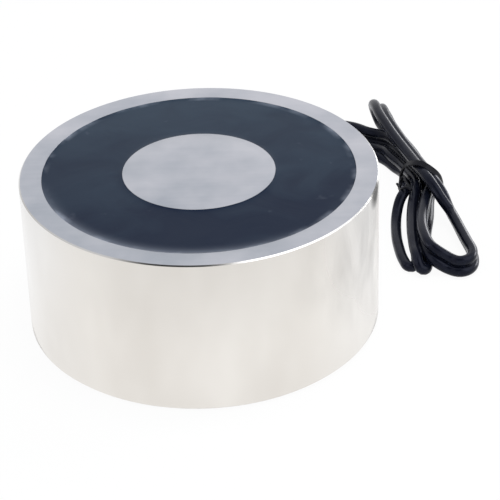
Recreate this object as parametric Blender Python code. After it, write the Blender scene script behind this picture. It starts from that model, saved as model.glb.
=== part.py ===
"""Holding electromagnet: a turned steel pot with a potted coil and a two-core cord.

Metres, +Z up. The origin is the centre of the mounting face, and the pole face looks up.
The pot is one turned piece, a cup with its core in the middle. The groove between core and
rim holds a bobbin with its winding, over a low space where the winding's two leads are
joined to the cord. The cord leaves through a sealed hole in the wall, lies on the surface
that the magnet stands on, and is folded into a tied hank beside it.
"""

import math

import bmesh
import bpy
from mathutils import Matrix, Vector

MM = 0.001

# The pot: overall size, walls and edges
POT_DIAMETER = 65.0 * MM
POT_HEIGHT = 30.0 * MM
RIM_WALL = 0.0631 * POT_DIAMETER
CORE_DIAMETER = 0.4262 * POT_DIAMETER
BASE_THICKNESS = 7.0 * MM
FACE_CHAMFER = 0.4 * MM
BASE_CHAMFER = 0.8 * MM

# The M8 hole in the base, drilled for its thread
TAPPING_DIAMETER = 6.8 * MM
TAPPING_DEPTH = 12.0 * MM
COUNTERSINK_DIAMETER = 9.0 * MM
DRILL_POINT_ANGLE = 118.0

# Clearance between pieces that touch or fit into each other
FIT_GAP = 0.3 * MM

# The coil, from the groove's floor upwards
INSULATOR_THICKNESS = 0.4 * MM
JOINT_SPACE = 4.2 * MM
BOBBIN_WALL = 1.2 * MM
RESIN_THICKNESS = 4.4 * MM
RESIN_RECESS = 0.12 * MM
MENISCUS = 0.1 * MM
TAPE_THICKNESS = 0.4 * MM
FLANGE_LIP = 0.6 * MM
FLANGE_TO_WALL = 0.8 * MM
LEAD_SLOT_WIDTH = 1.8 * MM
LEAD_DIAMETER = 1.0 * MM
START_LEAD_ANGLE = 190.0
FINISH_LEAD_ANGLE = -10.0

# The joints under the bobbin
SLEEVE_DIAMETER = 2.8 * MM
SLEEVE_NEAR_ANGLE = 36.0
SLEEVE_FAR_ANGLE = 72.0

# The cord: two round cores side by side
CORE_WIRE_DIAMETER = 2.1 * MM
EXIT_HOLE_DIAMETER = 5.4 * MM
EXIT_ANGLE = 90.0
SEAL_BEAD_DIAMETER = 7.0 * MM
SEAL_BEAD_HEIGHT = 1.3 * MM
CONDUCTOR_DIAMETER = 0.9 * MM
BARE_LENGTH = 6.0 * MM

# The folded hank and its tie
HANK_FRONT_RADIUS = 8.6 * MM
HANK_BACK_RADIUS = 4.0 * MM
HANK_WAIST_WIDTH = 6.8 * MM
HANK_FRONT_HEIGHT = 5.2 * MM
HANK_TOP = 7.2 * MM
HANK_EDGE_RADIUS = 1.6 * MM
TIE_WIDTH = 1.6 * MM
TIE_THICKNESS = 0.5 * MM
TIE_TAIL = 2.4 * MM

# Facets of the turned pieces
POT_FACETS = 72
COIL_FACETS = 48

# Radii and levels that follow from the sizes above
pot_radius = POT_DIAMETER / 2
groove_radius = pot_radius - RIM_WALL
core_radius = CORE_DIAMETER / 2
tapping_radius = TAPPING_DIAMETER / 2
countersink_radius = COUNTERSINK_DIAMETER / 2
wire_radius = CORE_WIRE_DIAMETER / 2
cord_width = 2 * CORE_WIRE_DIAMETER

insulator_bottom = BASE_THICKNESS + FIT_GAP
insulator_top = insulator_bottom + INSULATOR_THICKNESS
hub_bottom = insulator_top + FIT_GAP
lower_flange_bottom = insulator_top + JOINT_SPACE
lower_flange_top = lower_flange_bottom + BOBBIN_WALL
resin_top = POT_HEIGHT - RESIN_RECESS
resin_bottom = resin_top - RESIN_THICKNESS
upper_flange_top = resin_bottom - FIT_GAP
upper_flange_bottom = upper_flange_top - BOBBIN_WALL
hub_inner = core_radius + FIT_GAP
hub_outer = hub_inner + BOBBIN_WALL
flange_radius = groove_radius - FLANGE_TO_WALL
tape_outer = flange_radius - FLANGE_LIP
tape_inner = tape_outer - TAPE_THICKNESS
winding_inner = hub_outer + FIT_GAP
winding_outer = tape_inner - FIT_GAP
winding_bottom = lower_flange_top + FIT_GAP
winding_top = upper_flange_bottom - FIT_GAP

joint_level = insulator_top + FIT_GAP + SLEEVE_DIAMETER / 2
joint_radius = (hub_outer + groove_radius) / 2
exit_level = BASE_THICKNESS + EXIT_HOLE_DIAMETER / 2 + FIT_GAP / 2
seal_radius = EXIT_HOLE_DIAMETER / 2 - FIT_GAP
seal_outer = pot_radius + FIT_GAP + SEAL_BEAD_HEIGHT


def clear_scene():
    """Remove what the scene starts with."""
    for old in list(bpy.data.objects):
        bpy.data.objects.remove(old, do_unlink=True)


def finish_of(name, colour, roughness, metallic=0.0):
    """A Principled material with the piece's colour."""
    material = bpy.data.materials.new(name)
    material.use_nodes = True
    shader = material.node_tree.nodes["Principled BSDF"]
    shader.inputs["Base Color"].default_value = (*colour, 1.0)
    shader.inputs["Roughness"].default_value = roughness
    shader.inputs["Metallic"].default_value = metallic
    material.diffuse_color = (*colour, 1.0)
    return material


def placed(name, data, material, sharp=35.0):
    """Link a piece to the scene, under the magnet's own empty."""
    piece = bpy.data.objects.new(name, data)
    data.materials.append(material)
    bpy.context.scene.collection.objects.link(piece)
    piece.parent = magnet
    if isinstance(data, bpy.types.Mesh):
        data.shade_smooth()
        data.set_sharp_from_angle(angle=math.radians(sharp))
    return piece


def turned_mesh(name, profile, facets, closed=True):
    """Spin a profile of (radius, height) points round Z.

    A closed profile makes a ring. An open one starts and ends on the axis.
    """
    bm = bmesh.new()
    corners = [bm.verts.new((radius, 0.0, height)) for radius, height in profile]
    edges = [bm.edges.new(pair) for pair in zip(corners, corners[1:])]
    if closed:
        edges.append(bm.edges.new((corners[-1], corners[0])))
    bmesh.ops.spin(
        bm,
        geom=corners + edges,
        axis=(0.0, 0.0, 1.0),
        cent=(0.0, 0.0, 0.0),
        angle=2 * math.pi,
        steps=facets,
        use_merge=True,
    )
    bmesh.ops.remove_doubles(bm, verts=bm.verts, dist=0.000001)
    bmesh.ops.recalc_face_normals(bm, faces=bm.faces)
    mesh = bpy.data.meshes.new(name)
    bm.to_mesh(mesh)
    bm.free()
    return mesh


def lofted_mesh(name, rings):
    """Skin a row of rings that all have as many points, and close both ends."""
    bm = bmesh.new()
    loops = [[bm.verts.new(point) for point in ring] for ring in rings]
    for low, high in zip(loops, loops[1:]):
        for k in range(len(low)):
            after = (k + 1) % len(low)
            bm.faces.new((low[k], low[after], high[after], high[k]))
    bm.faces.new(loops[0][::-1])
    bm.faces.new(loops[-1])
    bmesh.ops.recalc_face_normals(bm, faces=bm.faces)
    mesh = bpy.data.meshes.new(name)
    bm.to_mesh(mesh)
    bm.free()
    return mesh


def cutter(name, mesh):
    """A guide body that only cuts others."""
    body = bpy.data.objects.new(name, mesh)
    bpy.context.scene.collection.objects.link(body)
    body.parent = magnet
    body.hide_render = True
    body.display_type = "WIRE"
    return body


def cut(piece, body):
    """Take a cutter's volume away from a piece."""
    boolean = piece.modifiers.new("Cut " + body.name, "BOOLEAN")
    boolean.operation = "DIFFERENCE"
    boolean.solver = "EXACT"
    boolean.object = body


def box_mesh(name, size):
    """A block centred on its own origin."""
    bm = bmesh.new()
    bmesh.ops.create_cube(bm, size=1.0)
    bmesh.ops.scale(bm, vec=Vector(size), verts=bm.verts)
    mesh = bpy.data.meshes.new(name)
    bm.to_mesh(mesh)
    bm.free()
    return mesh


def rod_mesh(name, radius, length, facets):
    """A plain cylinder along Z, centred on its own origin."""
    bm = bmesh.new()
    bmesh.ops.create_cone(
        bm, cap_ends=True, segments=facets, radius1=radius, radius2=radius, depth=length
    )
    mesh = bpy.data.meshes.new(name)
    bm.to_mesh(mesh)
    bm.free()
    return mesh


def smooth_route(points, step):
    """Read points at even steps from a natural cubic curve through the given ones."""
    knots = [Vector(point) for point in points]
    count = len(knots)
    spans = [(b - a).length for a, b in zip(knots, knots[1:])]
    # The curve's second derivatives, from the usual tridiagonal system
    upper = [0.0] * count
    bend = [Vector((0.0, 0.0, 0.0)) for _ in knots]
    for k in range(1, count - 1):
        change = (knots[k + 1] - knots[k]) / spans[k] - (knots[k] - knots[k - 1]) / spans[k - 1]
        pivot = 2 * (spans[k - 1] + spans[k]) - spans[k - 1] * upper[k - 1]
        upper[k] = spans[k] / pivot
        bend[k] = (6 * change - spans[k - 1] * bend[k - 1]) / pivot
    for k in range(count - 2, 0, -1):
        bend[k] = bend[k] - upper[k] * bend[k + 1]
    fine = []
    for k, span in enumerate(spans):
        for part in range(24):
            t = part / 24
            s = 1 - t
            point = s * knots[k] + t * knots[k + 1]
            point += span * span / 6 * ((s**3 - s) * bend[k] + (t**3 - t) * bend[k + 1])
            fine.append(point)
    fine.append(knots[-1])
    # Walk along the fine points in equal lengths
    total = sum((b - a).length for a, b in zip(fine, fine[1:]))
    pieces = max(2, round(total / step))
    route = [fine[0]]
    walked = 0.0
    for a, b in zip(fine, fine[1:]):
        length = (b - a).length
        while len(route) < pieces and walked + length >= total * len(route) / pieces:
            share = (total * len(route) / pieces - walked) / length
            route.append(a.lerp(b, share))
        walked += length
    route.append(fine[-1])
    return route


def tube(name, route, radius, material, sides=2):
    """A round wire or cord as a bevelled curve with closed ends."""
    curve = bpy.data.curves.new(name, "CURVE")
    curve.dimensions = "3D"
    curve.bevel_depth = radius
    curve.bevel_resolution = sides
    curve.use_fill_caps = True
    spline = curve.splines.new("POLY")
    spline.points.add(len(route) - 1)
    for point, place in zip(spline.points, route):
        point.co = (*place, 1.0)
    return placed(name, curve, material)


def around(radius, angle, height):
    """A point at a radius and an angle in degrees round the magnet's axis."""
    turn = math.radians(angle)
    return Vector((radius * math.cos(turn), radius * math.sin(turn), height))


def beside(dx, dy, height):
    """A point on the surface, from the corner of the square round the pot."""
    return Vector((pot_radius + dx * MM, pot_radius + dy * MM, height))


clear_scene()
magnet = bpy.data.objects.new("holding_electromagnet", None)
bpy.context.scene.collection.objects.link(magnet)

nickel_steel = finish_of("nickel_plated_steel", (0.70, 0.69, 0.67), 0.16, 1.0)
epoxy = finish_of("black_epoxy", (0.035, 0.045, 0.065), 0.35)
nylon = finish_of("natural_nylon", (0.78, 0.75, 0.66), 0.45)
paper = finish_of("insulation_paper", (0.42, 0.33, 0.20), 0.8)
enamelled_copper = finish_of("enamelled_copper", (0.62, 0.24, 0.10), 0.3, 1.0)
polyester_tape = finish_of("polyester_tape", (0.80, 0.62, 0.12), 0.35)
shrink_sleeve = finish_of("shrink_sleeve", (0.02, 0.02, 0.02), 0.5)
black_pvc = finish_of("black_pvc", (0.015, 0.015, 0.02), 0.3)
tie_plastic = finish_of("tie_plastic", (0.03, 0.03, 0.035), 0.4)
tinned_copper = finish_of("tinned_copper", (0.72, 0.72, 0.70), 0.35, 1.0)

# The pot, from the middle of the pole face outwards, down the side and up the hole
point_height = tapping_radius / math.tan(math.radians(DRILL_POINT_ANGLE / 2))
pot_profile = [
    (0.0, POT_HEIGHT),
    (core_radius, POT_HEIGHT),
    (core_radius, BASE_THICKNESS),
    (groove_radius, BASE_THICKNESS),
    (groove_radius, POT_HEIGHT),
    (pot_radius - FACE_CHAMFER, POT_HEIGHT),
    (pot_radius, POT_HEIGHT - FACE_CHAMFER),
    (pot_radius, BASE_CHAMFER),
    (pot_radius - BASE_CHAMFER, 0.0),
    (countersink_radius, 0.0),
    (tapping_radius, countersink_radius - tapping_radius),
    (tapping_radius, TAPPING_DEPTH),
    (0.0, TAPPING_DEPTH + point_height),
]
pot_body = placed(
    "pot_body", turned_mesh("pot_body", pot_profile, POT_FACETS, closed=False), nickel_steel
)

# The hole in the wall for the cord, which stops short of the groove's floor and core
exit_turn = Matrix.Rotation(math.radians(EXIT_ANGLE), 4, "Z")
hole_length = 1.5 * RIM_WALL
hole_cutter = cutter(
    "exit_hole_cutter", rod_mesh("exit_hole_cutter", EXIT_HOLE_DIAMETER / 2, hole_length, 24)
)
hole_cutter.matrix_world = (
    exit_turn
    @ Matrix.Translation((pot_radius - RIM_WALL / 2, 0.0, exit_level))
    @ Matrix.Rotation(math.pi / 2, 4, "Y")
)
cut(pot_body, hole_cutter)

# The paper washer under the coil
insulator_profile = [
    (hub_inner, insulator_bottom),
    (groove_radius - FIT_GAP, insulator_bottom),
    (groove_radius - FIT_GAP, insulator_top),
    (hub_inner, insulator_top),
]
placed(
    "base_insulator", turned_mesh("base_insulator", insulator_profile, COIL_FACETS), paper
)

# The bobbin: its hub stands on the washer and lifts the lower flange over the joints
bobbin_profile = [
    (hub_inner, hub_bottom),
    (hub_outer, hub_bottom),
    (hub_outer, lower_flange_bottom),
    (flange_radius, lower_flange_bottom),
    (flange_radius, lower_flange_top),
    (hub_outer, lower_flange_top),
    (hub_outer, upper_flange_bottom),
    (flange_radius, upper_flange_bottom),
    (flange_radius, upper_flange_top),
    (hub_inner, upper_flange_top),
]
bobbin = placed("coil_bobbin", turned_mesh("coil_bobbin", bobbin_profile, COIL_FACETS), nylon)

# The start lead's slot runs from hub to rim, the finish lead's is a notch in the rim
start_radius = winding_inner + LEAD_DIAMETER / 2
finish_radius = winding_outer - LEAD_DIAMETER / 2
for slot_name, slot_angle, slot_inner in (
    ("start_slot_cutter", START_LEAD_ANGLE, hub_outer + FIT_GAP / 2),
    ("finish_slot_cutter", FINISH_LEAD_ANGLE, finish_radius - LEAD_SLOT_WIDTH / 2),
):
    slot_outer = groove_radius
    slot = cutter(
        slot_name,
        box_mesh(slot_name, (slot_outer - slot_inner, LEAD_SLOT_WIDTH, 2 * BOBBIN_WALL)),
    )
    slot.matrix_world = Matrix.Rotation(math.radians(slot_angle), 4, "Z") @ Matrix.Translation(
        ((slot_outer + slot_inner) / 2, 0.0, (lower_flange_bottom + lower_flange_top) / 2)
    )
    cut(bobbin, slot)

# The winding, slightly crowned, and the tape round it
crown = min(0.3 * MM, (winding_outer - winding_inner) / 8)
winding_profile = [
    (winding_inner, winding_bottom),
    (winding_outer - crown, winding_bottom),
    (winding_outer, winding_bottom + 2 * crown),
    (winding_outer, winding_top - 2 * crown),
    (winding_outer - crown, winding_top),
    (winding_inner, winding_top),
]
placed(
    "coil_winding",
    turned_mesh("coil_winding", winding_profile, COIL_FACETS),
    enamelled_copper,
)
tape_profile = [
    (tape_inner, winding_bottom),
    (tape_outer, winding_bottom),
    (tape_outer, winding_top),
    (tape_inner, winding_top),
]
placed("winding_tape", turned_mesh("winding_tape", tape_profile, COIL_FACETS), polyester_tape)

# The resin ring, drawn up a little where it meets the steel
ring_inner = core_radius + FIT_GAP
ring_outer = groove_radius - FIT_GAP
edge_run = (ring_outer - ring_inner) / 12
resin_profile = [
    (ring_inner, resin_bottom),
    (ring_outer, resin_bottom),
    (ring_outer, resin_top),
    (ring_outer - edge_run, resin_top - MENISCUS),
    (ring_inner + edge_run, resin_top - MENISCUS),
    (ring_inner, resin_top),
]
placed("potting_resin", turned_mesh("potting_resin", resin_profile, POT_FACETS), epoxy)

# The joints: each core of the cord meets a lead of the winding in a sleeve on the washer
sides_of_exit = (
    ("a", 1.0, START_LEAD_ANGLE, start_radius),
    ("b", -1.0, FINISH_LEAD_ANGLE, finish_radius),
)
for letter, side, lead_angle, lead_radius in sides_of_exit:
    near = EXIT_ANGLE + side * SLEEVE_NEAR_ANGLE
    far = EXIT_ANGLE + side * SLEEVE_FAR_ANGLE
    end_gap = math.degrees(1.2 * FIT_GAP / joint_radius)
    arc = [
        around(joint_radius, near + (far - near) * k / 8, joint_level) for k in range(9)
    ]
    tube("splice_sleeve_" + letter, arc, SLEEVE_DIAMETER / 2, shrink_sleeve)

    # The core comes in beside its twin and bends round to the sleeve
    start = exit_turn @ Vector(
        (
            groove_radius - 2.2 * FIT_GAP,
            side * (wire_radius + FIT_GAP / 2),
            exit_level,
        )
    )
    inwards = exit_turn @ Vector(
        (
            joint_radius + 0.45 * (groove_radius - joint_radius),
            side * (wire_radius + 0.6 * FIT_GAP),
            (exit_level + joint_level) / 2,
        )
    )
    turning = around(joint_radius + 0.8 * wire_radius, EXIT_ANGLE + side * 10.0, joint_level)
    passing = around(joint_radius + 0.2 * wire_radius, EXIT_ANGLE + side * 22.0, joint_level)
    last = around(joint_radius, near - side * end_gap, joint_level)
    tube(
        "inner_core_" + letter,
        smooth_route([start, inwards, turning, passing, last], 1.5 * wire_radius),
        wire_radius,
        black_pvc,
    )

    # The winding's lead comes down through its slot and along to the sleeve
    meets = around(joint_radius, far + side * end_gap, joint_level)
    runs = around(joint_radius, far + side * 8.0, joint_level)
    lead_top = around(lead_radius, lead_angle, winding_bottom - FIT_GAP)
    in_slot = around(lead_radius, lead_angle, lower_flange_bottom)
    turns_up = around(
        (lead_radius + joint_radius) / 2,
        lead_angle - side * 10.0,
        joint_level + 0.3 * (lower_flange_bottom - joint_level),
    )
    tube(
        ("start_lead", "finish_lead")[letter == "b"],
        smooth_route([meets, runs, turns_up, in_slot, lead_top], 1.1 * LEAD_DIAMETER),
        LEAD_DIAMETER / 2,
        enamelled_copper,
    )

# The resin plug in the wall's hole, with the bead that it leaves outside round the cord
seal_profile = [
    (0.0, groove_radius - FIT_GAP),
    (seal_radius, groove_radius - FIT_GAP),
    (seal_radius, pot_radius + FIT_GAP),
    (SEAL_BEAD_DIAMETER / 2, pot_radius + FIT_GAP),
    (0.94 * SEAL_BEAD_DIAMETER / 2, pot_radius + FIT_GAP + 0.45 * SEAL_BEAD_HEIGHT),
    (0.78 * SEAL_BEAD_DIAMETER / 2, pot_radius + FIT_GAP + 0.8 * SEAL_BEAD_HEIGHT),
    (0.62 * SEAL_BEAD_DIAMETER / 2, seal_outer),
    (0.0, seal_outer),
]
seal = placed(
    "exit_seal", turned_mesh("exit_seal", seal_profile, 24, closed=False), epoxy, sharp=50.0
)
seal.matrix_world = (
    exit_turn
    @ Matrix.Translation((0.0, 0.0, exit_level))
    @ Matrix.Rotation(math.pi / 2, 4, "Y")
)


def hank_section(half_width, low, high, grow=0.0):
    """Points of a rounded rectangle across the hank, as (sideways, up) pairs."""
    half = half_width + grow
    bottom = low - grow
    top = high + grow
    corner = min(HANK_EDGE_RADIUS + grow, 0.7 * half, 0.45 * (top - bottom))
    points = []
    for cx, cz, first in (
        (half - corner, top - corner, 0),
        (-half + corner, top - corner, 90),
        (-half + corner, bottom + corner, 180),
        (half - corner, bottom + corner, 270),
    ):
        for part in range(4):
            turn = math.radians(first + 30 * part)
            points.append((cx + corner * math.cos(turn), cz + corner * math.sin(turn)))
    return points


# The hank's middle line, from its front end to its back end, with half its width and
# the levels of its underside and top at each place
waist_low = FIT_GAP + TIE_THICKNESS
waist = beside(11.4, 9.5, 0.0)
front = beside(12.7, -17.5, 0.0)
back = beside(4.9, 38.0, 0.0)
spread_points = []
for degrees in (12, 30, 50, 70, 90):
    turn = math.radians(degrees)
    spread_points.append(
        (
            front + Vector((0.0, -HANK_FRONT_RADIUS * math.cos(turn), 0.0)),
            HANK_FRONT_RADIUS * math.sin(turn),
            0.0,
            HANK_FRONT_HEIGHT,
        )
    )
spread_points += [
    (beside(12.2, -9.5, 0.0), 0.90 * HANK_FRONT_RADIUS, 0.0, HANK_FRONT_HEIGHT),
    (beside(11.9, -2.5, 0.0), 0.68 * HANK_FRONT_RADIUS, 0.0, 0.5 * (HANK_FRONT_HEIGHT + HANK_TOP)),
    (beside(11.6, 4.0, 0.0), 0.58 * HANK_WAIST_WIDTH, 0.5 * waist_low, HANK_TOP),
    (waist, HANK_WAIST_WIDTH / 2, waist_low, HANK_TOP),
    (beside(10.4, 15.5, 0.0), 0.60 * HANK_WAIST_WIDTH, 0.5 * waist_low, HANK_TOP),
    (beside(8.6, 22.0, 0.0), 1.15 * HANK_BACK_RADIUS, 0.0, HANK_TOP),
    (beside(6.6, 29.0, 0.0), 1.18 * HANK_BACK_RADIUS, 0.0, HANK_TOP),
]
back_direction = (back - beside(6.6, 29.0, 0.0)).normalized()
for degrees in (90, 62, 36, 14):
    turn = math.radians(degrees)
    spread_points.append(
        (
            back + back_direction * HANK_BACK_RADIUS * math.cos(turn),
            HANK_BACK_RADIUS * math.sin(turn),
            0.0,
            HANK_TOP,
        )
    )

rings = []
waist_across = Vector((1.0, 0.0, 0.0))
waist_along = Vector((0.0, 1.0, 0.0))
for k, (place, half_width, low, high) in enumerate(spread_points):
    before = spread_points[max(k - 1, 0)][0]
    after = spread_points[min(k + 1, len(spread_points) - 1)][0]
    along = (after - before).normalized()
    across = Vector((along.y, -along.x, 0.0))
    if place == waist:
        waist_across = across
        waist_along = along
    rings.append(
        [
            place + across * sideways + Vector((0.0, 0.0, up))
            for sideways, up in hank_section(half_width, low, high)
        ]
    )
placed("cord_hank", lofted_mesh("cord_hank", rings), black_pvc, sharp=50.0)


def tie_mesh(name):
    """A flat band round the waist, with its twisted ends drawn out low on one side."""
    bm = bmesh.new()
    loops = []
    for grow, shift in (
        (FIT_GAP, -0.5),
        (FIT_GAP + TIE_THICKNESS, -0.5),
        (FIT_GAP + TIE_THICKNESS, 0.5),
        (FIT_GAP, 0.5),
    ):
        loops.append(
            [
                bm.verts.new(
                    waist
                    + waist_across * sideways
                    + waist_along * (shift * TIE_WIDTH)
                    + Vector((0.0, 0.0, up))
                )
                for sideways, up in hank_section(
                    HANK_WAIST_WIDTH / 2, waist_low, HANK_TOP, grow
                )
            ]
        )
    count = len(loops[0])
    for a, b in zip(loops, loops[1:] + loops[:1]):
        for k in range(count):
            after = (k + 1) % count
            bm.faces.new((a[k], a[after], b[after], b[k]))
    bmesh.ops.recalc_face_normals(bm, faces=bm.faces)
    # The band's outer face at the lower corner on the pot's side carries the tail
    aim = waist - waist_across * HANK_WAIST_WIDTH + Vector((0.0, 0.0, 0.25 * HANK_TOP))
    bm.faces.ensure_lookup_table()
    outer = [f for f in bm.faces if f.normal.dot(-waist_across) > 0.6]
    root = min(outer, key=lambda f: (f.calc_center_median() - aim).length)
    grown = bmesh.ops.extrude_discrete_faces(bm, faces=[root])["faces"][0]
    bmesh.ops.translate(
        bm,
        vec=-waist_across * TIE_TAIL * 0.5 + waist_along * 0.2 * TIE_TAIL,
        verts=list(grown.verts),
    )
    middle = grown.calc_center_median()
    bmesh.ops.scale(
        bm,
        vec=Vector((0.6, 0.6, 0.6)),
        space=Matrix.Translation(-middle),
        verts=list(grown.verts),
    )
    grown = bmesh.ops.extrude_discrete_faces(bm, faces=[grown])["faces"][0]
    bmesh.ops.translate(
        bm,
        vec=-waist_across * TIE_TAIL * 0.5 + waist_along * 0.3 * TIE_TAIL,
        verts=list(grown.verts),
    )
    bmesh.ops.recalc_face_normals(bm, faces=bm.faces)
    mesh = bpy.data.meshes.new(name)
    bm.to_mesh(mesh)
    bm.free()
    return mesh


placed("hank_tie", tie_mesh("hank_tie"), tie_plastic)


def off_the_hank(dy, slack, height):
    """A point beside the hank's flank on the pot's side, where a cord leaves the folds."""
    level = pot_radius + dy * MM
    for (a, half_a, _, _), (b, half_b, _, _) in zip(spread_points, spread_points[1:]):
        if a.y <= level <= b.y:
            share = (level - a.y) / (b.y - a.y)
            flank = (1 - share) * (a.x - half_a) + share * (b.x - half_b)
            return Vector((flank - FIT_GAP - slack * 0.5, level, height))
    return Vector((waist.x - HANK_WAIST_WIDTH, level, height))


# The cord from the seal to the hank: straight out, down to the surface and round
exit_face = exit_turn @ Vector((seal_outer + 2 * FIT_GAP, 0.0, exit_level))
outwards = exit_turn @ Vector((1.0, 0.0, 0.0))
lie = cord_width / 2
lead_route = [
    exit_face,
    exit_face + outwards * 0.76 * cord_width,
    exit_face + outwards * 1.67 * cord_width - Vector((0.0, 0.0, 0.29 * cord_width)),
    beside(-31.6, 13.6, 0.5 * (exit_level + lie)),
    beside(-29.6, 19.2, 1.3 * lie),
    beside(-26.3, 24.6, lie),
    beside(-20.5, 30.1, lie),
    beside(-13.5, 33.1, lie),
    beside(-6.5, 33.3, lie),
    off_the_hank(30.8, 0.42 * cord_width, lie),
]
tube("cord_lead", smooth_route(lead_route, 1.2 * cord_width), cord_width / 2, black_pvc)

# The two split cores leave the hank on the pot's side and end bare behind the pot
tails = (
    (
        "a",
        23.9,
        [(-3.0, 24.7), (-7.0, 23.5), (-12.5, 19.5), (-16.0, 15.0)],
    ),
    (
        "b",
        27.4,
        [(-2.5, 28.3), (-6.5, 28.7), (-11.5, 28.1), (-17.0, 25.1), (-21.0, 21.0)],
    ),
)
for letter, leaves_at, places in tails:
    first = off_the_hank(leaves_at, CORE_WIRE_DIAMETER * 0.35, wire_radius)
    rest = [beside(dx, dy, wire_radius) for dx, dy in places]
    route = smooth_route([first] + rest, 2 * CORE_WIRE_DIAMETER)
    tube("split_core_" + letter, route, wire_radius, black_pvc)
    direction = (route[-1] - route[-2]).normalized()
    bare_start = route[-1] + direction * FIT_GAP
    tube(
        "bare_end_" + letter,
        [bare_start, bare_start + direction * BARE_LENGTH / 2, bare_start + direction * BARE_LENGTH],
        CONDUCTOR_DIAMETER / 2,
        tinned_copper,
    )
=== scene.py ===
"""Looks of a holding electromagnet: a plated pot with a potted coil and a folded cord."""

import math

import bmesh
import bpy
from mathutils import Matrix, Vector, noise


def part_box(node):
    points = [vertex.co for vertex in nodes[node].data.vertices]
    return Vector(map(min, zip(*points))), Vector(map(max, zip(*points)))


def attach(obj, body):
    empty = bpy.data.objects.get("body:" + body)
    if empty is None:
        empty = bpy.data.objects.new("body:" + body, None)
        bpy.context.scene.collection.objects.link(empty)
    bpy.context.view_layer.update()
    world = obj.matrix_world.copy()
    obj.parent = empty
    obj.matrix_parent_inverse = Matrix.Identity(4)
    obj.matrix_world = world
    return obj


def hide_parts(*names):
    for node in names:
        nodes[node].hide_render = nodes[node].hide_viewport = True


MM = 0.001

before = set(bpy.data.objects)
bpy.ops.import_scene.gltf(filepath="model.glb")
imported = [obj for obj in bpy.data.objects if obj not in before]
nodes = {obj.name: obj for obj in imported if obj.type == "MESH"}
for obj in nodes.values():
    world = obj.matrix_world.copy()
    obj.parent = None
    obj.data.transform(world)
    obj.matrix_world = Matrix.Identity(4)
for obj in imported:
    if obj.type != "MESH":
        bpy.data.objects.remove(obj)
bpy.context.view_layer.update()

# Sizes of the visible pieces: the pot's own from the frame, the others as in the solids
pot_low, pot_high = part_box("pot_body")
POT_RADIUS = 0.5 * (pot_high.x - pot_low.x)
POT_HEIGHT = pot_high.z
CORE_RADIUS = 13.85 * MM
GROOVE_RADIUS = 28.4 * MM
GROOVE_FLOOR = 7.0 * MM
RIM_BREAK = 0.22 * MM
FACE_BREAK = 0.06 * MM
FOOT_CHAMFER = 0.8 * MM
FOOT_ROUND = 0.06 * MM
HOLE_RADIUS = 3.4 * MM
HOLE_DEPTH = 12.0 * MM
COUNTERSINK_RADIUS = 4.5 * MM
COUNTERSINK_DEPTH = COUNTERSINK_RADIUS - 0.05 * MM - HOLE_RADIUS
DRILL_POINT_ANGLE = 118.0
# The M8 thread, each turn of it drawn by an even number of rows of points
THREAD_ROOT = 4.0 * MM
THREAD_PITCH = 1.25 * MM
THREAD_LENGTH = 10.0 * MM
THREAD_RUN_OUT = 0.8 * MM
THREAD_ROWS = 16
ROW_SPACING = THREAD_PITCH / THREAD_ROWS
CORD_HOLE_RADIUS = 2.7 * MM
CORD_HOLE_LEVEL = 9.85 * MM
RESIN_DROP = 0.16 * MM
SEAL_WIDTH = 3.45 * MM
SEAL_HEIGHT = 3.1 * MM
SEAL_PLUG_LENGTH = 4.1 * MM
WIRE_RADIUS = 1.05 * MM
CORD_WEB = 0.32 * MM
STRIPPED_LENGTH = 6.2 * MM
STRAND_RADIUS = 0.15 * MM
STRAND_CIRCLE = 0.3 * MM
STRAND_LAY = 7.0 * MM
TIE_HALF_WIDTH = 0.6 * MM
TIE_HALF_THICK = 0.14 * MM
TIE_WIRE_RADIUS = 0.24 * MM
# The steps between the stations that the cord and its cores are swept through
CORD_STEP = 0.5 * MM
# How much of the floor's look is plain white; the rest keeps the part's shadow
FLOOR_WHITE = 0.94


# ---------------------------------------------------------------- materials


def linear(hex_colour):
    """A linear colour from an sRGB hex value."""
    values = [int(hex_colour[i : i + 2], 16) / 255 for i in (1, 3, 5)]
    return tuple(
        v / 12.92 if v <= 0.04045 else ((v + 0.055) / 1.055) ** 2.4 for v in values
    ) + (1.0,)


def add_node(tree, kind, settings=None, links=None):
    """Add a node, give its inputs or own settings, and link other sockets into it."""
    made = tree.nodes.new(kind)
    for name, value in (settings or {}).items():
        if isinstance(name, int) or name in made.inputs:
            made.inputs[name].default_value = value
        else:
            setattr(made, name, value)
    for name, source in (links or {}).items():
        tree.links.new(source, made.inputs[name])
    return made


def finish(name, **settings):
    """A material with its Principled shader, and the tree and shader to build on."""
    material = bpy.data.materials.new(name)
    material.use_nodes = True
    shader = material.node_tree.nodes["Principled BSDF"]
    for socket, value in settings.items():
        shader.inputs[socket.replace("_", " ")].default_value = value
    return material, material.node_tree, shader


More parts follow.
